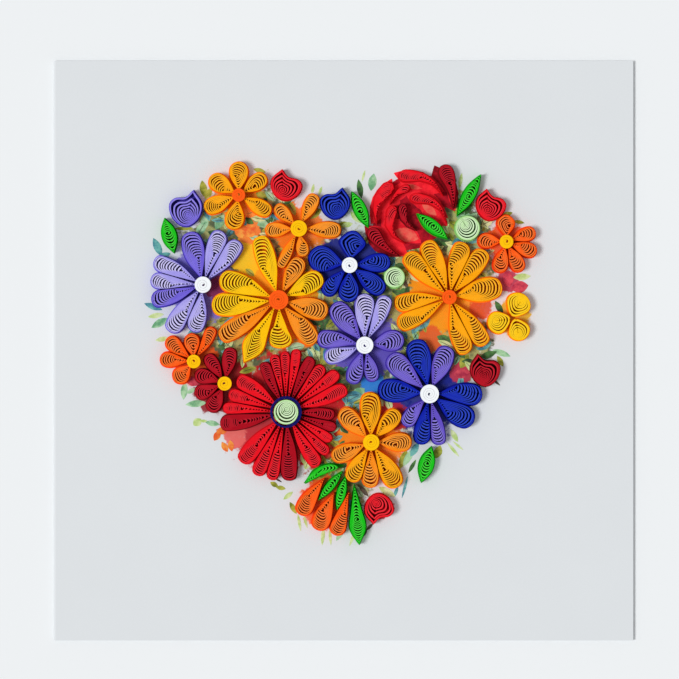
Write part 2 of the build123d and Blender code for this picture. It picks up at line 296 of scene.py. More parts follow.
@dataclass
class CoilOutline:
    """The outside line of one coil, counter-clockwise from its sharpest corner, in metres."""

    corners: np.ndarray
    sharp_angle: float = math.radians(95)
    samples: int = 14

    @classmethod
    def read(cls, node: str) -> list["CoilOutline"]:
        """Reads the outlines from the top of a node's solids.

        Args:
            node: Name of the node.

        Returns:
            One outline for each coil, from left to right.
        """
        work = bmesh.new()
        work.from_mesh(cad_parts[node].data)
        bmesh.ops.remove_doubles(work, verts=work.verts, dist=WELD)
        work.normal_update()
        top = max(v.co.z for v in work.verts)
        lid = dict.fromkeys(face for face in work.faces if face.normal.z > LID_SLOPE
                            and face.calc_center_median().z > top - LID_DEPTH)
        follow = {}
        for face in lid:
            for loop in face.loops:
                if sum(other in lid for other in loop.edge.link_faces) == 1:
                    follow[loop.vert] = loop.link_loop_next.vert
        found = []
        while follow:
            at = next(iter(follow))
            line = []
            while at in follow:
                line.append((at.co.x, at.co.y))
                at = follow.pop(at)
            corners = np.array(line)
            if cls.area(corners) > 0:
                found.append(cls(np.roll(corners, -int(np.argmin(cls.angles(corners))), axis=0)))
        work.free()
        return sorted(found, key=lambda one: tuple(one.corners.mean(axis=0)))

    @staticmethod
    def area(corners: np.ndarray) -> float:
        """Area inside the corners, above nought where they run counter-clockwise."""
        x, y = corners.T
        return 0.5 * float(np.sum(x * np.roll(y, -1) - np.roll(x, -1) * y))

    @staticmethod
    def angles(corners: np.ndarray) -> np.ndarray:
        """The angle inside each corner, in radians."""
        ahead = np.roll(corners, -1, axis=0) - corners
        back = np.roll(corners, 1, axis=0) - corners
        cosine = np.sum(ahead * back, axis=1) / (np.linalg.norm(ahead, axis=1) * np.linalg.norm(back, axis=1))
        return np.arccos(np.clip(cosine, -1, 1))

    def smooth(self) -> tuple[np.ndarray, int]:
        """The outline with its blunt corners rounded off.

        Returns:
            Points of the closed line from the tip, and the place among them of the end opposite.
        """
        points = self.corners
        count = len(points)
        sharp = self.angles(points) < self.sharp_angle
        ahead = np.roll(points, -1, axis=0)
        chord = ahead - np.roll(points, 1, axis=0)
        chord /= np.linalg.norm(chord, axis=1)[:, None]
        step = ahead - points
        length = np.linalg.norm(step, axis=1)[:, None]
        t = np.linspace(0, 1, self.samples, endpoint=False)[:, None]
        line = []
        for i in range(count):
            j = (i + 1) % count
            leave = step[i] if sharp[i] else chord[i] * length[i]
            arrive = step[i] if sharp[j] else chord[j] * length[i]
            line.append((2 * t ** 3 - 3 * t ** 2 + 1) * points[i] + (t ** 3 - 2 * t ** 2 + t) * leave
                        + (3 * t ** 2 - 2 * t ** 3) * points[j] + (t ** 3 - t ** 2) * arrive)
        return np.concatenate(line), (count // 2) * self.samples

    @staticmethod
    def along(line: np.ndarray, shares: np.ndarray) -> np.ndarray:
        """Points at given shares of a line's length."""
        run = np.concatenate([[0], np.cumsum(np.linalg.norm(np.diff(line, axis=0), axis=1))])
        return np.stack([np.interp(shares * run[-1], run, line[:, axis]) for axis in (0, 1)], axis=1)

    def sides(self, steps: int) -> tuple[np.ndarray, np.ndarray]:
        """The two sides from tip to end, with points closer together at both ends.

        Args:
            steps: Steps along a side.

        Returns:
            Points of the first side and of the second.
        """
        line, end = self.smooth()
        shares = (1 - np.cos(np.pi * np.arange(steps + 1) / steps)) / 2
        first = self.along(line[:end + 1], shares)
        second = self.along(np.concatenate([line[end:], line[:1]])[::-1], shares)
        return first, second

    def circuit(self, steps: int) -> np.ndarray:
        """Points at equal steps round the whole outline."""
        line, _ = self.smooth()
        return self.along(np.concatenate([line, line[:1]]), np.arange(steps) / steps)

    def centre(self) -> np.ndarray:
        """Middle of the corners."""
        return self.corners.mean(axis=0)

    def field(self, steps: int, margin: float) -> np.ndarray:
        """Points round the outline, moved outwards by a margin."""
        rim = self.circuit(steps)
        along = np.roll(rim, -1, axis=0) - np.roll(rim, 1, axis=0)
        outward = np.stack([along[:, 1], -along[:, 0]], axis=1)
        return rim + margin * outward / np.linalg.norm(outward, axis=1)[:, None]


@dataclass
class StripPath:
    """The line of one strip seen from above, how free each point stands, its rise, and the paper's thickness."""

    points: np.ndarray
    spread: np.ndarray
    rise: np.ndarray
    paper: np.ndarray


@dataclass(frozen=True)
class CoilHabit:
    """How a strip is wound: its paper, the gap between turns, and how the turns settle."""

    paper: float = 0.1 * MM
    bunched: float = 0.16 * MM
    merged: float = 0.3 * MM
    apart: float = 0.46 * MM
    fluff: float = 0.3
    open_fluff: float = 250.0
    thickest: float = 0.42 * MM
    thinnest: float = 0.08 * MM
    clearance: float = 0.98
    slip: float = 0.012 * MM
    pitch: float = 0.76 * MM
    eye: float = 0.48
    eye_scatter: float = 0.08
    lean: float = 0.4
    least_lean: float = 0.0
    bundle: float = 0.58
    bundle_fill: float = 0.95
    end_open: float = 0.25
    tip_width: float = 0.2 * MM
    tip_length: float = 1.2 * MM
    tip_fill: float = 0.6
    slimmest: float = 0.05 * MM
    both_ends: bool = False
    rim_turns: int = 1
    steps: int = 20
    first: float = 0.02
    fewest: int = 5
    most: int = 11
    unevenness: float = 0.3
    height_scatter: float = 0.03 * MM
    height_limit: float = 2.0
    full_spread: float = 0.7
    eye_hole: float = 0.16 * MM
    eye_zone: float = 0.15
    eye_swell: float = 0.55
    eye_window: float = 0.05

    def knots(self, reach: float, rng: random.Random) -> np.ndarray:
        """Size of each turn against the outline, from the eye to the rim.

        Args:
            reach: Way from the eye to the outline.
            rng: Source of the unevenness.

        Returns:
            Sizes at the start of each turn, and one at the strip's end.
        """
        rim_gap = self.bunched / reach
        last = 1 - 0.5 * self.bunched / reach
        open_to = last - self.rim_turns * rim_gap
        turns = int(min(max(round((open_to - self.first) * reach / self.pitch), self.fewest), self.most))
        gaps = np.array([rng.uniform(1 - self.unevenness, 1 + self.unevenness) for _ in range(turns)])
        open_turns = self.first + np.concatenate([[0], np.cumsum(gaps)]) * (open_to - self.first) / gaps.sum()
        rim = open_to + rim_gap * np.arange(1, self.rim_turns + 1)
        return np.concatenate([open_turns, rim, [last]])

    def settle(self, turns: np.ndarray, rng: random.Random) -> StripPath:
        """Makes one path of a coil's turns.

        Args:
            turns: Points of each turn, the eye's first.
            rng: Source of the turns' uneven heights.

        Returns:
            The path, thin where its turns lie against each other and fluffed where they stand free.
        """
        along = np.roll(turns, -1, axis=1) - np.roll(turns, 1, axis=1)
        normal = np.stack([along[..., 1], -along[..., 0]], axis=2)
        normal /= np.maximum(np.linalg.norm(normal, axis=2), TINY)[..., None]
        step = np.sum((turns[1:] - turns[:-1]) * normal[:-1], axis=2)
        step = np.concatenate([step[:1], step, step[-1:]])
        inner, outer = np.abs(step[:-1]), np.abs(step[1:])
        gap = (inner + outer) / 2
        free = np.maximum(gap - self.paper, 0)
        closed = np.clip((self.apart - gap) / (self.apart - self.merged), 0, 1)
        turns = turns + normal * (np.sign(step[1:]) * closed * (outer - inner) / 4)[..., None]
        standing = self.paper + self.fluff * free + self.open_fluff * free ** 2
        paper = np.clip(closed * gap + (1 - closed) * standing, self.thinnest, self.thickest)
        paper = np.minimum(paper, np.maximum(self.clearance * gap, self.slip))
        # How far a turn stands from its neighbours: it lifts free strips, and mixes their tops towards the painted
        # highlight colour.
        spread = np.clip((gap - self.bunched) / (self.full_spread * self.pitch - self.bunched), 0, 1)
        count, around = turns.shape[:2]
        limit = self.height_limit
        level = [max(-limit, min(limit, rng.gauss(0, 1))) * self.height_scatter for _ in range(count + 1)]
        rise = np.interp(np.arange(count * around) / around, np.arange(count + 1), level) * spread.reshape(-1)
        return StripPath(turns.reshape(-1, 2), spread.reshape(-1), rise, paper.reshape(-1))


@dataclass(frozen=True)
class PinchedCoil(CoilHabit):
    """A loose coil pinched at one end or at both: turns bunch at its sides and open out along its length."""

    def wind(self, outline: CoilOutline, rng: random.Random) -> StripPath:
        """Winds the strip inside an outline.

        Args:
            outline: The coil's outside line.
            rng: Source of the hand's unevenness.

        Returns:
            The strip's path from the eye to the pinched tip.
        """
        first, second = outline.sides(self.steps)
        axis, across = (first + second) / 2, (first - second) / 2
        run = np.concatenate([[0], np.cumsum(np.linalg.norm(np.diff(axis, axis=0), axis=1))])
        share = run / run[-1]
        half = np.linalg.norm(across, axis=1)
        unit = across / np.maximum(half, TINY)[:, None]
        unit[0], unit[-1] = unit[1], unit[-2]
        half = np.maximum(half - 0.5 * self.bunched, 0)
        eye = self.eye + rng.uniform(-1, 1) * self.eye_scatter
        lean = rng.choice((-1.0, 1.0)) * rng.uniform(self.least_lean, self.lean)
        reach = run[-1] * max(eye, 1 - eye)
        knots = self.knots(reach, rng)
        fullest = float(np.interp(eye, share, half))
        packed_width = self.bundle_fill * self.bunched * (len(knots) - 2)
        bundle = min(self.bundle, packed_width / (fullest * (1 - abs(lean))))

        def at(values: np.ndarray, place: np.ndarray) -> np.ndarray:
            """Vectors read at places along the axis."""
            return np.stack([np.interp(place, share, values[:, k]) for k in (0, 1)], axis=-1)

        loop = np.concatenate([np.arange(self.steps + 1), np.arange(self.steps - 1, 0, -1)])
        side = np.where(np.arange(len(loop)) <= self.steps, 1.0, -1.0)
        tipward = share[loop] < eye
        pinched = tipward | self.both_ends
        endward = 1 - self.end_open * np.clip((share[loop] - eye) / (1 - eye), 0, 1)
        part = np.arange(len(loop)) / len(loop)
        before, beyond = at(axis, np.array([max(eye - self.eye_window, 0.0), min(eye + self.eye_window, 1.0)]))
        heading = (beyond - before) / np.linalg.norm(beyond - before)
        square = at(unit, np.array([eye]))[0]
        turns = []
        for start, stop in zip(knots[:-1], knots[1:]):
            size = start + (stop - start) * part
            place = eye + size * (share[loop] - eye)
            to_end = np.where(tipward, place - (1 - size) * eye, size + (1 - size) * eye - place) * run[-1]
            packed = (1 - size) * bundle
            sideways = at(unit, place)
            sideways /= np.linalg.norm(sideways, axis=1)[:, None]
            outer = np.interp(place, share, half)
            tip = np.maximum(self.tip_width * (1 - to_end / self.tip_length), self.slimmest)
            slim = np.maximum(outer - packed * fullest, np.minimum(tip, self.tip_fill * outer) + WELD)
            bend = np.sqrt(1 - (1 - np.clip(to_end / slim, 0, 1)) ** 2)
            offset = side * np.where(pinched, slim * bend, half[loop] * (1 - packed * endward))
            turn = at(axis, place) + sideways * (offset + lean * packed * outer)[:, None]
            centre = at(axis, np.array([eye])) + square * (lean * packed * fullest)[:, None]
            radius = (self.eye_hole + self.eye_swell * size * reach)[:, None]
            swing = 2 * np.pi * part[:, None]
            ring = centre + radius * (np.sin(swing) * square - np.cos(swing) * heading)
            roundness = np.clip(1 - size / self.eye_zone, 0, 1)[:, None]
            turns.append(turn * (1 - roundness) + ring * roundness)
        return self.settle(np.array(turns), rng)


@dataclass(frozen=True)
class RoundCoil(CoilHabit):
    """A loose coil left round, or shaped to a bud: its turns close in on an eye off the middle."""

    eye_drop: float = 0.0
    eye_offset: float = 0.25
    eye_ring: float = 1.1
    around: int = 46

    def wind(self, outline: CoilOutline, rng: random.Random) -> StripPath:
        """Winds the strip inside an outline.

        Args:
            outline: The coil's outside line.
            rng: Source of the hand's unevenness.

        Returns:
            The strip's path from the eye outwards.
        """
        rim = outline.circuit(self.around)
        middle = rim.mean(axis=0)
        if self.eye_drop:
            peak = outline.corners[0]
            foot = outline.corners[np.argmax(np.linalg.norm(outline.corners - peak, axis=1))]
            eye = peak + self.eye_drop * (foot - peak)
        else:
            swing = rng.uniform(0, 2 * math.pi)
            size = np.linalg.norm(rim - middle, axis=1).min()
            eye = middle + self.eye_offset * size * np.array([math.cos(swing), math.sin(swing)])
        spoke = rim - eye
        length = np.linalg.norm(spoke, axis=1)
        ring = spoke / length[:, None] * length.min() * self.eye_ring
        knots = self.knots(float(length.max()), rng)
        part = np.arange(self.around) / self.around
        turns = []
        for start, stop in zip(knots[:-1], knots[1:]):
            size = (start + (stop - start) * part)[:, None]
            shape = np.clip(size, 0, 1) ** 2
            turns.append(eye + size * (shape * spoke + (1 - shape) * ring))
        return self.settle(np.array(turns), rng)


@dataclass(frozen=True)
class TightRoll(CoilHabit):
    """A strip rolled tight into a disc, or into a ring when it has a wide eye."""

    paper: float = 0.54 * MM
    pitch: float = 0.58 * MM
    eye_hole: float = 0.26 * MM
    around: int = 40
    least_turns: float = 1.5
    # A tenth of the way towards the free colour, the painted highlight, on the roll's tops.
    edge_spread: float = 0.1
    height_scatter: float = 0.025 * MM

    def wind(self, outline: CoilOutline, rng: random.Random) -> StripPath:
        """Winds the strip from the eye to the roll's outside.

        Args:
            outline: The roll's outside line.
            rng: Source of the start's direction and the turns' heights.

        Returns:
            The strip's path.
        """
        middle = outline.centre()
        outer = float(np.linalg.norm(outline.corners - middle, axis=1).mean()) - 0.5 * self.paper
        turns = max((outer - self.eye_hole) / self.pitch, self.least_turns) + 1
        count = int(turns * self.around)
        swing = rng.uniform(0, 2 * math.pi) + np.arange(count + 1) / self.around * 2 * np.pi
        radius = np.minimum(self.eye_hole + np.arange(count + 1) / self.around * self.pitch, outer)
        points = middle + radius[:, None] * np.stack([np.cos(swing), np.sin(swing)], axis=1)
        level = [rng.gauss(0, 1) * self.height_scatter for _ in range(int(turns) + 3)]
        rise = np.interp(np.arange(count + 1) / self.around, np.arange(len(level)), level)
        return StripPath(points, np.full(count + 1, self.edge_spread), rise, np.full(count + 1, self.paper))


class StripWorks:
    """Stands paper strips on edge along their paths, as one piece."""

    CREASE = math.radians(42)

    @staticmethod
    def build(node: str, paths: Sequence[StripPath]) -> bpy.types.Object:
        """Models the strips that take a node's place.

        Args:
            node: Node whose foot and height the strips keep.
            paths: Line of each strip.

        Returns:
            The piece.
        """
        low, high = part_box(node)
        total = sum(len(path.points) for path in paths)
        bpy.ops.object.select_all(action="DESELECT")
        bpy.ops.mesh.primitive_circle_add(vertices=total, radius=MM, fill_type="NOTHING")
        piece = bpy.context.object
        piece.name = node + "_strips"
        mesh = piece.data
        mesh.name = piece.name
        bpy.context.tool_settings.mesh_select_mode = (False, True, False)
        starts = set(np.cumsum([0] + [len(path.points) for path in paths]).tolist())
        for edge in mesh.edges:
            one, two = sorted(edge.vertices)
            edge.select = two - one != 1 or two in starts
        for vertex in mesh.vertices:
            vertex.select = False
        bpy.ops.object.mode_set(mode="EDIT")
        bpy.ops.mesh.delete(type="EDGE")
        bpy.ops.object.mode_set(mode="OBJECT")
        flat = np.concatenate([path.points for path in paths])
        mesh.vertices.foreach_set("co", np.column_stack([flat, np.full(total, low.z)]).ravel())
        for label in ("spread", "rise"):
            values = np.concatenate([getattr(path, label) for path in paths])
            mesh.attributes.new(label, "FLOAT", "POINT").data.foreach_set("value", values)
        paper = np.concatenate([path.paper for path in paths])
        thickest = float(paper.max())
        share = piece.vertex_groups.new(name="paper")
        for index, part in enumerate((paper / thickest).tolist()):
            share.add([index], part, "REPLACE")
        bpy.ops.object.mode_set(mode="EDIT")
        bpy.ops.mesh.select_all(action="SELECT")
        bpy.ops.mesh.extrude_region_move(TRANSFORM_OT_translate={"value": (0, 0, high.z - low.z)})
        bpy.ops.object.mode_set(mode="OBJECT")
        StripWorks.raise_tops(mesh, (low.z + high.z) / 2)
        wall = piece.modifiers.new("paper", "SOLIDIFY")
        wall.thickness = thickest
        wall.vertex_group = share.name
        wall.offset = 0
        bpy.ops.object.modifier_apply(modifier=wall.name)
        piece.vertex_groups.clear()
        bpy.ops.object.shade_smooth_by_angle(angle=StripWorks.CREASE)
        return piece

    @staticmethod
    def raise_tops(mesh: bpy.types.Mesh, middle: float) -> None:
        """Lifts or lowers the top of each strip by its own rise.

        Args:
            mesh: The strips before they have a thickness.
            middle: Height that the tops lie above.
        """
        count = len(mesh.vertices)
        place = np.empty(count * 3, np.float32)
        rise = np.empty(count, np.float32)
        mesh.vertices.foreach_get("co", place)
        mesh.attributes["rise"].data.foreach_get("value", rise)
        place = place.reshape(-1, 3)
        place[:, 2] += np.where(place[:, 2] > middle, rise, 0)
        mesh.vertices.foreach_set("co", place.ravel())
        mesh.update()


LOOSE = PinchedCoil(bundle=0.84, lean=0.8, least_lean=0.45)
SMALL = PinchedCoil(pitch=0.64 * MM, lean=0.7, least_lean=0.3, bundle=0.8, fewest=4)
LEAF = PinchedCoil(pitch=0.72 * MM, eye=0.52, lean=0.15, bundle=0.5, both_ends=True, fewest=5)
ROLL = TightRoll()


@dataclass
class QuilledPiece:
    """One node of coils that share a paper."""

    node: str
    paper: Paper
    habit: Union[PinchedCoil, RoundCoil, TightRoll] = LOOSE

    def build(self) -> bpy.types.Object:
        """Winds the coils and stands them up.

        Returns:
            The piece.
        """
        rng = random.Random(self.node)
        paths = [self.habit.wind(outline, rng) for outline in CoilOutline.read(self.node)]
        piece = StripWorks.build(self.node, paths)
        LOG.info("%s: %d coils, %d faces", piece.name, len(paths), len(piece.data.polygons))
        return piece

    def dress(self, piece: bpy.types.Object) -> None:
        """Gives the coils their paper and the place of their node.

        Args:
            piece: The coils.
        """
        paper = self.paper.value
        piece.data.materials.append(paper.material())
        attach(piece, "root")
        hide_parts(self.node)


@dataclass
class QuilledFlower:
    """Petals of one or more papers round a tight roll."""

    name: str
    petals: dict[str, Paper]
    centre: Paper
    habit: PinchedCoil = LOOSE
    centre_habit: Union[TightRoll, RoundCoil] = ROLL

    def pieces(self) -> list[QuilledPiece]:
        """The petals, then the roll on them."""
        petals = [QuilledPiece(f"{self.name}_{shade}", paper, self.habit) for shade, paper in self.petals.items()]
        return petals + [QuilledPiece(f"{self.name}_centre", self.centre, self.centre_habit)]


@dataclass
class Heart:
    """All the quilled work on the card's front."""

    ring: TightRoll = TightRoll(eye_hole=3.4 * MM, pitch=0.34 * MM, paper=0.25 * MM)
    hub: RoundCoil = RoundCoil(pitch=0.66 * MM, eye_offset=0.25, fluff=0.4)
    bud: RoundCoil = RoundCoil(pitch=0.82 * MM, eye_drop=0.68)
    drop: RoundCoil = RoundCoil(pitch=0.58 * MM, eye_offset=0.3, fluff=0.55)
    disc: RoundCoil = RoundCoil(pitch=0.62 * MM, eye_offset=0.3, rim_turns=2, fluff=0.3)
    rose: PinchedCoil = PinchedCoil(pitch=0.7 * MM, lean=0.3, eye=0.55)

    def flowers(self) -> list[QuilledFlower]:
        """The thirteen flowers."""
        blue = PinchedCoil(eye=0.45, bundle=0.84, lean=0.8, least_lean=0.45)
        red = PinchedCoil(eye=0.6, lean=0.2, pitch=0.72 * MM, bundle=0.8, end_open=0.4)
        return [
            QuilledFlower("amber_flower", {"petals": Paper.AMBER}, Paper.CORAL, SMALL),
            QuilledFlower("tangerine_flower", {"petals": Paper.TANGERINE}, Paper.YELLOW, SMALL),
            QuilledFlower("lilac_flower", {"light_petals": Paper.LILAC, "dark_petals": Paper.PURPLE}, Paper.WHITE),
            QuilledFlower("sunny_flower", {"yellow_petals": Paper.YELLOW, "orange_petals": Paper.TANGERINE},
                          Paper.CORAL),
            QuilledFlower("blue_flower", {"petals": Paper.BLUE}, Paper.WHITE, blue),
            QuilledFlower("gold_flower", {"petals": Paper.GOLD}, Paper.CORAL),
            QuilledFlower("violet_flower", {"pale_petals": Paper.LILAC, "deep_petals": Paper.VIOLET}, Paper.WHITE),
            QuilledFlower("indigo_flower", {"blue_petals": Paper.BLUE, "lilac_petals": Paper.VIOLET}, Paper.WHITE),
            QuilledFlower("coral_flower", {"petals": Paper.CORAL}, Paper.YELLOW, SMALL),
            QuilledFlower("maroon_flower", {"petals": Paper.MAROON}, Paper.YELLOW, SMALL),
            QuilledFlower("red_flower", {"bright_petals": Paper.RED, "dark_petals": Paper.MAROON},
                          Paper.PALE_GREEN, red, self.hub),
            QuilledFlower("peach_flower", {"amber_petals": Paper.AMBER, "orange_petals": Paper.TANGERINE},
                          Paper.YELLOW),
            QuilledFlower("ember_flower", {"petals": Paper.CORAL}, Paper.YELLOW, SMALL),
        ]

    def fillers(self) -> list[QuilledPiece]:
        """The rose, buds, leaves and loose coils between the flowers."""
        pieces = [
            # Blue paper in a darker copy: painted shade.
            QuilledPiece("red_flower_ring", Paper.NAVY, self.ring),
            QuilledPiece("rose_bright_petals", Paper.RED, self.rose),
            QuilledPiece("rose_dark_petals", Paper.MAROON, self.rose),
        ]
        buds = {"purple": Paper.PURPLE, "crimson": Paper.RED, "blue": Paper.BLUE, "scarlet": Paper.RED,
                "ruby": Paper.MAROON, "cherry": Paper.RED}
        groups = (("yellow_bud", Paper.YELLOW, self.drop, 3), ("green_leaf", Paper.GREEN, LEAF, 5),
                  ("pale_coil", Paper.PALE_GREEN, self.disc, 2), ("tulip_petal", Paper.CORAL, SMALL, 3),
                  ("tulip_sepal", Paper.GREEN, LEAF, 4))
        pieces += [QuilledPiece(f"{name}_bud", paper, self.bud) for name, paper in buds.items()]
        pieces += [QuilledPiece(f"{name}_{k}", paper, habit)
                   for name, paper, habit, count in groups for k in range(1, count + 1)]
        return pieces

    def pieces(self) -> list[QuilledPiece]:
        """Every piece of the heart."""
        return [piece for flower in self.flowers() for piece in flower.pieces()] + self.fillers()

    def build(self) -> None:
        """Builds and dresses every coil of the heart."""
        for piece in self.pieces():
            piece.dress(piece.build())


@dataclass(frozen=True)
class Wash:
    """A soft patch of printed colour on the card's front, in millimetres."""

    x: float
    y: float
    radius: float
    colour: str


@dataclass
class FoldedCard:
    """The folded sheet, its grain, and the soft printed colours under the flowers."""

    stock: str = "#DDE1E4"
    front: float = 1.15 * MM
    foliage_light: str = "#A8AA60"
    foliage_deep: str = "#46562C"
    raggedness: float = 1.1
    cover_from: float = 0.92
    cover_full: float = 0.76
    cover_most: float = 0.95
    cloudiness: float = 0.03
    graininess: float = 0.05
    tooth: float = 0.03 * MM
    beds: Sequence[tuple[float, float, float]] = (
        (-25, 27, 19), (25, 26, 18), (0, 12, 22), (-1, -14, 21), (-27, 4, 15), (26, 2, 14), (-1, -35, 9),
    )
    washes: Sequence[Wash] = (
        Wash(-36, 17, 11, "#7C72CC"), Wash(-16.5, 13, 14, "#F0A40A"), Wash(27, 14, 12, "#F09C0C"),
        Wash(1.6, 22, 10, "#0E1E8A"), Wash(5.5, 1.5, 10, "#6656BE"), Wash(22, -11, 12, "#101E8C"),
        Wash(-14.8, -15.8, 18, "#C20C22"), Wash(-31, -9, 9, "#98101E"), Wash(7, -24, 10, "#F28C10"),
        Wash(-27, 40, 7, "#F09A20"), Wash(-11.5, 31.5, 8, "#EE8014"), Wash(42, 28, 6, "#E85A14"),
        Wash(-38, -3, 7, "#E85A18"), Wash(-4, -39, 8, "#EA6018"), Wash(44, 8.5, 5, "#DCAE10"),
        Wash(17, 35.5, 9.5, "#E41428"), Wash(12, 29.5, 5, "#D81026"), Wash(-25.5, 24.5, 6, "#F4C81E"),
        Wash(-24.5, 31, 4, "#F0843A"), Wash(-33, 16.5, 3.5, "#7C2450"), Wash(-9, 4, 4, "#E87A22"),
        Wash(-14, 22, 5, "#E8862C"), Wash(42.5, 18, 3.5, "#B83050"), Wash(30.5, -5.5, 3.5, "#C23A50"),
        Wash(22.5, 3, 4, "#E0602A"), Wash(35.5, 11, 3.5, "#D8542C"), Wash(-28, -22, 3.5, "#E8706A"),
        Wash(7.5, -8.5, 3.5, "#2F86DC"), Wash(13, -17, 4.5, "#BE222C"), Wash(9.5, -40.5, 4, "#B8182A"),
    )

    def material(self) -> bpy.types.Material:
        """White card stock with a fine tooth, and the washes on its front.

        Returns:
            The material.
        """
        bench = ShaderBench("card_stock")
        cloud = bench.noise(scale=60.0, detail=3.0)
        grain = bench.noise(scale=2600.0, detail=4.0, roughness=0.7)
        edge = bench.noise(scale=420.0, detail=5.0, roughness=0.62)
        patches = bench.noise(scale=300.0, detail=4.0, roughness=0.6)
        height = bench.node("ShaderNodeSeparateXYZ", {}, {0: bench.place}, out="Z")
        on_front = height > self.front
        ragged = (edge - NOISE_MIDDLE) * self.raggedness

        def cover(x: float, y: float, radius: float) -> Wire:
            """How far a patch with a ragged edge covers the front."""
            away = bench.node("ShaderNodeVectorMath", {"operation": "DISTANCE"},
                              {0: bench.place, 1: (x * MM, y * MM, self.front)}, out="Value")
            share = away / (radius * MM) + ragged
            return bench.ramp(share, self.cover_full, self.cover_from, self.cover_most, 0.0) * on_front

        green = bench.mix(bench.ramp(patches, low=0.42, high=0.58), linear(self.foliage_light),
                          linear(self.foliage_deep))
        paint: Feed = linear(self.stock)
        for bed in self.beds:
            paint = bench.mix(cover(*bed), paint, green)
        for wash in self.washes:
            paint = bench.mix(cover(wash.x, wash.y, wash.radius), paint, linear(wash.colour))
        value = 1.0 + (cloud - NOISE_MIDDLE) * self.cloudiness + (grain - NOISE_MIDDLE) * self.graininess
        return bench.finish(Base_Color=bench.shade(paint, value), Roughness=0.6 + grain * 0.15,
                            Specular_IOR_Level=0.15, Normal=bench.bump(grain, self.tooth))

    def dress(self) -> None:
        """Dresses the card's solid, whose shape stays as it is."""
        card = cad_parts["card"]
        for place in card.material_slots:
            place.material = self.material()
        LOG.info("card: dressed")


class Ink(Enum):
    """The printed colours of the sprigs."""

    OLIVE = InkFinish("olive", "#B4B84C", "#727C22")
    SAGE = InkFinish("sage", "#B4DDB0", "#66A476")
    MOSS = InkFinish("moss", "#568848", "#2C4830")
    LIME = InkFinish("lime", "#DCE8B0", "#B0CC74")
    TEAL = InkFinish("teal", "#78BEB6", "#3C7C90")
    BLOSSOM = InkFinish("blossom", "#F8AE4C", "#E4602E")
    ROSY = InkFinish("rosy", "#E05260", "#A42646")
    TWIG = InkFinish("twig", "#6A5E50", "#2C2826")
    RUBY = InkFinish("ruby", "#C00E26", "#7C0416")
    CRIMSON = InkFinish("crimson", "#FF2A38", "#DC1026")
    BLUSH = InkFinish("blush", "#F4705E", "#F03A40")


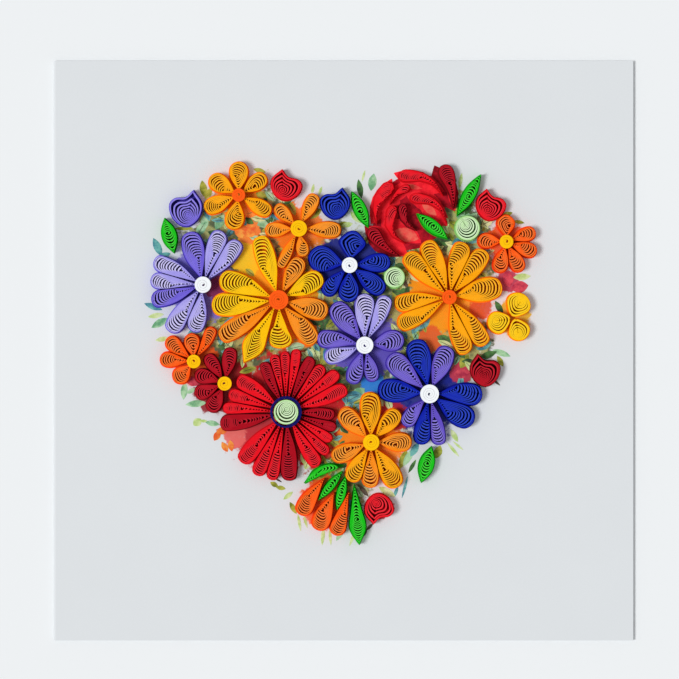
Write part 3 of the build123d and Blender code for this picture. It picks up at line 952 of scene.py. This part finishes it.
@dataclass
class PrintAndGapShade:
    """Flat shapes on the card's front: under each coil a sheet in its paper's wall colour, painted shade for the
    gaps between the turns, and printed sprigs between the coils.
    """

    field_depth: float = 0.16 * MM
    sprig_depth: float = 0.03 * MM
    layer: float = 0.0004 * MM
    layers: int = 24
    ink_step: float = 0.0061 * MM
    growth: Sequence[Ink] = (Ink.OLIVE, Ink.SAGE, Ink.MOSS, Ink.LIME, Ink.TEAL)
    growth_density: float = 0.32
    growth_reach: float = 0.82
    growth_length: tuple[float, float] = (2.2, 5.0)
    growth_slimness: tuple[float, float] = (0.34, 0.56)
    clear_of_wash: float = 0.72
    vein_length: float = 0.84
    vein_width: float = 0.15
    vein_ink: Ink = Ink.TWIG
    growth_seed: int = 11
    field_steps: int = 48
    field_margin: float = 0.22 * MM
    leaf_steps: int = 16
    sprigs: Sequence[tuple[Ink, Sequence[tuple[float, float, float, float, float]]]] = (
        (Ink.OLIVE, (
            (-36.2, 41.9, 4.4, 2.0, 100), (-34.9, 40.7, 3.6, 1.6, 60), (-21.7, 46.6, 3.4, 1.3, -15),
            (-21.1, 40.0, 4.2, 2.0, -40), (-7.6, 35.5, 4.6, 2.4, 30), (-0.2, 32.6, 3.2, 1.6, 20),
            (-41.3, 31.6, 5.0, 1.0, 0), (45.4, 33.3, 3.0, 1.0, -10), (42.2, 35.2, 3.4, 1.4, 20),
            (40.6, -2.7, 3.2, 1.4, -60), (24.5, -26.2, 3.6, 2.2, 70), (15.5, -28.1, 5.4, 2.0, 70),
            (-17.9, -34.6, 2.4, 1.3, -30), (-16.2, -35.5, 2.6, 1.2, -10), (-13.0, -40.7, 3.6, 1.4, -60),
            (31.3, -2.7, 4.2, 2.4, 60),
        )),
        (Ink.SAGE, (
            (-32.0, 33.3, 4.4, 2.4, 60), (-20.1, 33.3, 4.8, 3.0, 20), (7.5, 43.6, 4.6, 2.2, 80),
            (40.9, -0.6, 5.0, 1.6, -20), (-41.2, -10.4, 4.6, 1.8, 85),
            (-39.4, -10.4, 2.6, 1.2, 30), (-38.1, -13.7, 5.6, 1.8, 5), (-33.9, -18.8, 3.8, 1.5, -10),
            (3.9, -11.1, 4.2, 3.0, 40), (16.8, -27.6, 5.4, 1.8, 60), (-0.8, -47.4, 4.2, 1.4, 60),
            (-47.5, 7.2, 5.0, 2.0, 30), (-35.9, 33.3, 3.4, 2.0, 100),
        )),
        (Ink.MOSS, (
            (4.3, 41.9, 5.0, 1.6, 100), (-14.6, 38.7, 3.0, 1.6, 20), (32.3, 36.5, 3.2, 1.4, 60),
            (40.3, 11.1, 4.2, 1.6, -60), (37.4, -1.1, 5.0, 1.8, 20), (17.8, -29.9, 4.0, 1.0, 60),
            (-24.5, 33.6, 3.0, 1.6, 150), (15.8, 15.4, 3.6, 2.0, 40), (34.2, 31.5, 3.0, 1.4, 120),
        )),
        (Ink.LIME, (
            (-7.9, 41.8, 2.8, 0.8, 80), (-6.0, 41.3, 2.6, 0.8, 70), (5.2, 45.2, 3.2, 0.6, 75),
            (3.3, 34.5, 4.2, 1.8, -45), (1.0, 32.6, 3.0, 1.4, 10), (30.3, 43.9, 4.2, 1.0, 80),
            (46.2, 19.1, 4.6, 1.8, 5), (-48.5, 9.1, 4.2, 1.4, 10), (-46.8, 3.0, 3.8, 1.3, 10),
            (-37.8, -18.5, 2.6, 2.2, 40), (-36.2, -18.2, 2.0, 0.8, 0), (-14.3, -37.5, 3.2, 1.2, 40),
            (-11.4, -44.5, 4.6, 0.8, -80), (-9.8, -44.2, 3.6, 0.7, -75), (-5.3, -47.9, 5.0, 1.0, 85),
            (-3.4, -48.2, 4.4, 0.8, 95), (28.4, -25.6, 4.8, 0.8, -50), (29.7, -24.6, 3.6, 0.6, -40),
            (28.7, -22.0, 3.8, 1.4, -60), (11.3, -36.5, 5.0, 1.8, -30), (2.3, -48.6, 4.2, 0.8, 70),
        )),
        (Ink.TEAL, (
            (-48.1, 26.8, 5.2, 2.0, 115), (-46.4, 24.6, 3.6, 1.6, 20), (-49.2, 11.4, 5.0, 1.6, -20),
            (18.4, -25.6, 4.2, 1.8, 60), (13.6, -36.5, 3.2, 0.9, 70), (15.9, -35.3, 6.0, 0.7, 75),
        )),
        (Ink.BLOSSOM, (
            (-24.3, 35.8, 4.0, 2.8, -20), (-24.3, 31.0, 4.0, 3.6, 40), (-26.9, 30.7, 3.6, 2.4, 120),
            (-32.7, -22.0, 3.0, 1.8, 60), (-30.7, -24.9, 3.0, 1.6, -60), (-29.1, -24.6, 3.0, 1.6, -80),
            (-31.4, -20.7, 3.0, 2.0, 10),
        )),
        (Ink.ROSY, (
            (45.6, 16.5, 4.6, 3.2, 10), (42.6, 18.5, 4.2, 3.0, 100), (30.6, -5.9, 4.4, 2.6, 10),
            (-39.1, -7.9, 4.0, 2.4, -30),
        )),
        (Ink.TWIG, (
            (6.8, -45.6, 2.6, 0.8, 45), (5.6, -47.2, 2.2, 0.7, 60), (5.2, -36.2, 4.0, 1.2, -50),
            (15.9, 17.6, 3.2, 1.2, -60), (39.6, -8.2, 2.6, 0.6, -40), (-17.0, -33.4, 2.6, 0.5, -30),
        )),
        (Ink.RUBY, (
            (17.0, 35.5, 25.0, 19.0, 50), (26.2, 42.0, 13.0, 6.6, -66), (10.2, 28.3, 12.4, 6.4, -40),
            (17.4, 34.2, 12.0, 8.0, -56), (9.3, 37.2, 12.0, 4.8, 82),
        )),
        (Ink.CRIMSON, (
            (9.9, 38.6, 13.0, 5.2, 66), (12.2, 36.0, 12.0, 4.6, 72), (19.6, 43.6, 14.0, 5.6, -20),
            (20.8, 39.2, 16.0, 5.6, -38), (11.6, 28.4, 13.0, 5.4, -38), (23.2, 35.6, 10.0, 4.6, -42),
            (14.4, 41.0, 8.0, 4.0, 40), (15.6, 31.0, 11.0, 5.2, -34), (28.0, 41.0, 10.0, 2.4, -80),
        )),
        (Ink.BLUSH, (
            (16.4, 30.0, 6.6, 3.6, -20), (22.2, 36.6, 5.0, 2.0, -40), (18.0, 42.4, 5.0, 1.2, -12),
        )),
    )

    def leaf(self, x: float, y: float, length: float, width: float, angle: float) -> np.ndarray:
        """A pointed leaf.

        Args:
            x: Middle, in millimetres.
            y: Middle, in millimetres.
            length: From point to point, in millimetres.
            width: Across the middle, in millimetres.
            angle: Direction of its points, in degrees.

        Returns:
            Its outline, counter-clockwise.
        """
        swing = 2 * np.pi * np.arange(self.leaf_steps) / self.leaf_steps
        along = np.cos(swing) * length / 2
        across = np.sin(swing) * np.abs(np.sin(swing)) * width / 2
        turn = math.radians(angle)
        return MM * np.stack([x + along * math.cos(turn) - across * math.sin(turn),
                              y + along * math.sin(turn) + across * math.cos(turn)], axis=1)

    def lay(self, ink: InkFinish, shapes: Sequence[np.ndarray], depth: float) -> bpy.types.Object:
        """Lays flat shapes on the card as one piece.

        Args:
            ink: Their colour.
            shapes: Outline of each.
            depth: Thickness; shapes that follow each other differ a little in height.

        Returns:
            The piece.
        """
        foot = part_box("card")[1].z
        bpy.ops.object.select_all(action="DESELECT")
        bpy.ops.mesh.primitive_circle_add(vertices=len(shapes[0]), radius=MM, fill_type="NGON")
        piece = bpy.context.object
        piece.name = "print_" + ink.name
        piece.data.name = piece.name
        bpy.ops.object.mode_set(mode="EDIT")
        for shape in shapes[1:]:
            bpy.ops.mesh.primitive_circle_add(vertices=len(shape), radius=MM, fill_type="NGON")
        bpy.ops.object.mode_set(mode="OBJECT")
        flat = np.concatenate(shapes)
        order = np.arange(len(shapes)) % self.layers
        level = np.repeat(foot + depth / 2 + self.layer * order, [len(shape) for shape in shapes])
        piece.data.vertices.foreach_set("co", np.column_stack([flat, level]).ravel())
        wall = piece.modifiers.new("ink", "SOLIDIFY")
        wall.thickness = depth
        wall.offset = 0
        bpy.ops.object.modifier_apply(modifier=wall.name)
        bpy.ops.object.mode_set(mode="EDIT")
        bpy.ops.mesh.select_all(action="SELECT")
        bpy.ops.mesh.normals_make_consistent(inside=False)
        bpy.ops.object.mode_set(mode="OBJECT")
        LOG.info("%s: %d shapes", piece.name, len(shapes))
        return piece

    def dress(self, piece: bpy.types.Object, ink: InkFinish) -> None:
        """Gives the printed shapes and the sheets of painted gap shade their colour.

        Args:
            piece: The shapes.
            ink: Their colour.
        """
        piece.data.materials.append(ink.material())
        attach(piece, "root")

    def undergrowth(self, card: FoldedCard) -> dict[Ink, list[np.ndarray]]:
        """Small overlapping leaves with veins, where foliage shows between the flowers' own colours.

        Args:
            card: The card, with the places of its foliage and washes.

        Returns:
            The outlines, by ink.
        """
        rng = random.Random(self.growth_seed)
        shapes: dict[Ink, list[np.ndarray]] = {}
        for x, y, radius in card.beds:
            for _ in range(round(self.growth_density * radius ** 2)):
                away, turn = self.growth_reach * radius * math.sqrt(rng.random()), rng.uniform(0, 2 * math.pi)
                spot = x + away * math.cos(turn), y + away * math.sin(turn)
                length, angle = rng.uniform(*self.growth_length), rng.uniform(0, 180)
                width, ink = length * rng.uniform(*self.growth_slimness), rng.choice(self.growth)
                if all(math.dist(spot, (wash.x, wash.y)) > self.clear_of_wash * wash.radius
                       for wash in card.washes):
                    shapes.setdefault(ink, []).append(self.leaf(*spot, length, width, angle))
                    vein = self.leaf(*spot, length * self.vein_length, self.vein_width, angle)
                    shapes.setdefault(self.vein_ink, []).append(vein)
        return shapes

    def build(self, coils: Sequence[QuilledPiece], card: FoldedCard) -> None:
        """Lays a sheet of painted gap shade under each coil, then prints the foliage and the sprigs.

        Args:
            coils: The pieces that each stand on a sheet of painted gap shade in their paper's wall colour.
            card: The card that is printed on.
        """
        # Painted gap shade: under each loose coil, its outline widened a little is filled with the paper's wall
        # colour, standing in for the coloured shade down between the turns.
        gap_shade_fields: dict[Paper, list[np.ndarray]] = {}
        for coil in coils:
            if not isinstance(coil.habit, TightRoll):
                gap_shade_fields.setdefault(coil.paper, []).extend(
                    outline.field(self.field_steps, self.field_margin) for outline in CoilOutline.read(coil.node))
        prints_and_gap_shade = [(paper.value.ink(), shapes, self.field_depth) for paper, shapes in gap_shade_fields.items()]
        growth = self.undergrowth(card)
        for level, (ink, leaves) in enumerate(self.sprigs):
            shapes = growth.get(ink, []) + [self.leaf(*leaf) for leaf in leaves]
            prints_and_gap_shade.append((ink.value, shapes, self.sprig_depth + level * self.ink_step))
        for ink, shapes, depth in prints_and_gap_shade:
            self.dress(self.lay(ink, shapes, depth), ink)


@dataclass
class Studio:
    """Floor, light and the camera straight above the card."""

    aim: tuple[float, float] = (-1.0 * MM, 2.9 * MM)
    height: float = 0.9
    card_top: float = 1.2 * MM
    view_width: float = 175.7 * MM
    sensor: float = 36.0
    far: float = 10.0
    floor_colour: str = "#EEF1F3"
    floor_size: float = 3.0
    floor_drop: float = 0.01 * MM
    key_place: tuple[float, float, float] = (-0.5, 0.5, 0.8)
    key_share: float = 0.55
    key_tilt: float = math.radians(30)
    key_turn: float = math.radians(192)
    key_spread: float = math.radians(18)

    def camera(self) -> None:
        """Hangs the camera over the card."""
        lens = bpy.data.cameras.new("studio_camera")
        lens.sensor_width = self.sensor
        lens.lens = self.sensor * self.height / self.view_width
        lens.clip_end = self.far
        body = bpy.data.objects.new("studio_camera", lens)
        body.location = (*self.aim, self.height + self.card_top)
        bpy.context.scene.collection.objects.link(body)
        bpy.context.scene.camera = body

    def floor(self) -> None:
        """Lays a plain pale floor under the card."""
        bpy.ops.object.select_all(action="DESELECT")
        bpy.ops.mesh.primitive_plane_add(size=self.floor_size, location=(0, 0, -self.floor_drop))
        ground = bpy.context.object
        ground.name = "studio_floor"
        bench = ShaderBench("studio_floor")
        ground.data.materials.append(bench.finish(Base_Color=linear(self.floor_colour), Roughness=0.8,
                                                  Specular_IOR_Level=0.1))

    def lights(self) -> None:
        """One soft lamp from the upper left and an even sky."""
        scene = bpy.context.scene
        lamp = bpy.data.lights.new("key_lamp", "SUN")
        lamp.angle = self.key_spread
        lamp.energy = self.key_share * math.pi / math.cos(self.key_tilt)
        key = bpy.data.objects.new("key_lamp", lamp)
        key.location = self.key_place
        towards = Vector((-math.sin(self.key_tilt) * math.cos(self.key_turn),
                          -math.sin(self.key_tilt) * math.sin(self.key_turn), -math.cos(self.key_tilt)))
        key.rotation_euler = towards.to_track_quat("-Z", "Y").to_euler()
        scene.collection.objects.link(key)
        world = bpy.data.worlds.new("studio_sky")
        world.use_nodes = True
        sky = world.node_tree.nodes["Background"]
        sky.inputs["Color"].default_value = (1.0, 1.0, 1.0, 1.0)
        sky.inputs["Strength"].default_value = 1.0 - self.key_share
        scene.world = world
        scene.view_settings.view_transform = "Standard"

    def build(self) -> None:
        """Sets up the studio."""
        self.camera()
        self.floor()
        self.lights()


def main() -> None:
    """Builds the studio, the card and the heart."""
    logging.basicConfig(level=logging.INFO, format="%(name)s %(message)s")
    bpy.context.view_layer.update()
    Studio().build()
    card = FoldedCard()
    card.dress()
    heart = Heart()
    heart.build()
    PrintAndGapShade().build(heart.pieces(), card)


if __name__ == "__main__":
    main()
